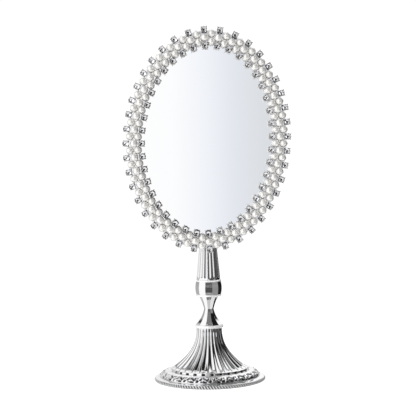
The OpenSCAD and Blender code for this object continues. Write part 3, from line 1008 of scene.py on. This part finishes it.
@dataclass
class Studio:
    """White table, a surround that the plating reflects, three soft lights and the camera.

    Each band of the surround is (start, end, stops). It blends in between those two sines of the elevation,
    and its stops are colours by bearing in degrees, 0 in front and positive to the right.
    """

    distance: float = 1270.0
    azimuth: float = -1.5
    eye_z: float = 238.0
    pitch: float = 2.92
    roll: float = -0.89
    yaw: float = -0.0325
    sensor: float = 36.0
    view_w: float = 416.0
    bands: tuple = (
        (-1, -1, ((-180, "e8e8e8"), (-142, "d0d0d0"), (-130, "b0b0b0"), (-110, "b0b0b0"), (-98, "ffffff"),
                  (-16, "ffffff"), (-9, "c8c8c8"), (12, "c8c8c8"), (20, "f8f8f8"), (88, "e0e0e0"),
                  (100, "303030"), (136, "303030"), (146, "f0f0f0"))),
        (-0.54, -0.50, ((-180, "d8d8d8"), (-142, "c8c8c8"), (-130, "b0b0b0"), (-110, "b0b0b0"),
                        (-98, "ffffff"), (-26, "ffffff"), (-14, "6a6a6a"), (-4, "4c4c4c"), (44, "505050"),
                        (52, "888888"), (66, "909090"), (74, "303030"), (136, "1c1c1c"), (146, "f0f0f0"))),
        (-0.09, -0.078, ((-180, "e8e8e8"), (-142, "d0d0d0"), (-130, "acacac"), (-110, "acacac"),
                         (-98, "ffffff"), (-3, "ffffff"), (0.4, "fcfdfe"), (2.2, "e9edf6"), (3.4, "dde1e5"),
                         (6, "d6d9dd"), (12, "909090"), (20, "484848"), (46, "484848"), (54, "949494"),
                         (66, "949494"), (74, "282828"), (140, "141414"), (150, "f0f0f0"))),
        (0.086, 0.10, ((-180, "f0f0f0"), (-142, "d0d0d0"), (-130, "a8a8a8"), (-112, "a8a8a8"),
                       (-100, "ffffff"), (-16, "ffffff"), (-6, "606060"), (44, "505050"), (52, "8c8c8c"),
                       (66, "8c8c8c"), (74, "282828"), (140, "141414"), (150, "f8f8f8"))),
        (0.36, 0.46, ((-180, "f8f8f8"), (-144, "f0f0f0"), (-137, "303030"), (-121, "303030"),
                      (-112, "ffffff"), (-30, "ffffff"), (-16, "747474"), (20, "828282"), (32, "161616"),
                      (106, "1a1a1a"), (114, "ffffff"), (150, "ffffff"))),
        (0.965, 0.985, ((-180, "686868"), (180, "686868"))),
    )

    def camera(self) -> None:
        """Set the camera in front, a little to the left, at the height of the glass."""
        data = bpy.data.cameras.new("camera")
        data.lens = self.sensor * self.distance / self.view_w
        data.sensor_width, data.clip_end = self.sensor, 20
        made = bpy.data.objects.new("camera", data)
        bpy.context.scene.collection.objects.link(made)
        az = math.radians(self.azimuth)
        eye = Vector((self.distance * math.sin(az), -self.distance * math.cos(az), self.eye_z)) * MM
        turn = Matrix.Rotation(az + math.radians(self.yaw), 4, "Z")
        tip = Matrix.Rotation(math.radians(90 - self.pitch), 4, "X")
        roll = Matrix.Rotation(math.radians(self.roll), 4, "Z")
        made.matrix_world = Matrix.Translation(eye) @ turn @ tip @ roll
        bpy.context.scene.camera = made

    def surround(self) -> None:
        """Light the scene from all round: bands of colour by bearing, blended by height."""
        world = bpy.data.worlds.new("surround")
        bpy.context.scene.world = world
        world.use_nodes = True
        tree = world.node_tree
        tree.nodes.clear()
        way = add_node(tree, "ShaderNodeTexCoord").outputs["Generated"]
        axes = add_node(tree, "ShaderNodeSeparateXYZ", Vector=way)
        ahead = add_node(tree, "ShaderNodeMath", {"operation": "MULTIPLY"}, i0=axes.outputs["Y"], i1=-1.0)
        bearing = add_node(tree, "ShaderNodeMath", {"operation": "ARCTAN2"}, i0=axes.outputs["X"],
                           i1=ahead.outputs[0])
        share = add_node(tree, "ShaderNodeMapRange", Value=bearing.outputs[0], From_Min=-math.pi,
                         From_Max=math.pi)
        colour = None
        for start, end, stops in self.bands:
            ramp = add_node(tree, "ShaderNodeValToRGB", Fac=share.outputs[0])
            set_ramp(ramp, [((degrees + 180) / 360, code) for degrees, code in stops])
            if colour is None:
                colour = ramp.outputs[0]
                continue
            part = add_node(tree, "ShaderNodeMapRange", {"interpolation_type": "SMOOTHSTEP"},
                            Value=axes.outputs["Z"], From_Min=start, From_Max=end)
            colour = blend(tree, part.outputs[0], colour, ramp.outputs[0])
        direct = add_node(tree, "ShaderNodeLightPath").outputs["Is Camera Ray"]
        backdrop = blend(tree, direct, colour, linear("ffffff"))
        sky = add_node(tree, "ShaderNodeBackground", Color=backdrop, Strength=1.05)
        output = add_node(tree, "ShaderNodeOutputWorld")
        tree.links.new(sky.outputs[0], output.inputs[0])

    def table(self) -> None:
        """Lay a white table top; the plating reflects the surround in its place."""
        mesh = bmesh.new()
        bmesh.ops.create_circle(mesh, cap_ends=True, segments=96, radius=0.42)
        data = bpy.data.meshes.new("table_top")
        mesh.to_mesh(data)
        mesh.free()
        made = bpy.data.objects.new("table_top", data)
        bpy.context.scene.collection.objects.link(made)
        top = bpy.data.materials.new("white_table_lacquer")
        top.use_nodes = True
        shader = top.node_tree.nodes["Principled BSDF"]
        shader.inputs["Base Color"].default_value = linear("c8c8c8")
        shader.inputs["Roughness"].default_value = 0.7
        shader.inputs["Emission Color"].default_value = linear("ffffff")
        shader.inputs["Emission Strength"].default_value = 0.82
        data.materials.append(top)
        made.visible_glossy = False

    def lamp(self, name: str, place: tuple[float, float, float], size: float, power: float,
             gleam: bool = False) -> None:
        """Add a square soft light that points at the middle of the mirror.

        Args:
            name: Name of the light.
            place: Where it stands, in metres.
            size: Side of the square, in metres.
            power: Power in watts.
            gleam: Whether glossy surfaces reflect it.
        """
        data = bpy.data.lights.new(name, "AREA")
        data.size, data.energy = size, power
        made = bpy.data.objects.new(name, data)
        bpy.context.scene.collection.objects.link(made)
        made.location = place
        made.visible_glossy = gleam
        aim = Vector((0, 0, 0.2)) - Vector(place)
        made.rotation_euler = aim.to_track_quat("-Z", "Y").to_euler()

    def build(self) -> None:
        """Set up everything that isn't the mirror."""
        bpy.context.scene.view_settings.view_transform = "Standard"
        self.camera()
        self.surround()
        self.table()
        window = (-0.75, -1.1, 0.6)
        self.lamp("key_light", window, 0.8, 6.0)
        self.lamp("sparkle_light", window, 0.35, 2.6, gleam=True)
        self.lamp("fill_light", (0.9, -0.8, 0.5), 0.8, 4.0)


def main() -> None:
    """Build the studio and every sub-assembly in order."""
    logging.basicConfig(level=logging.INFO, format="%(message)s")
    Studio().build()
    Foot().build()
    Stem().build()
    oval = Oval()
    Glass(oval).build()
    Beadwork(oval).build()
    PlainParts().build()


if __name__ == "__main__":
    main()
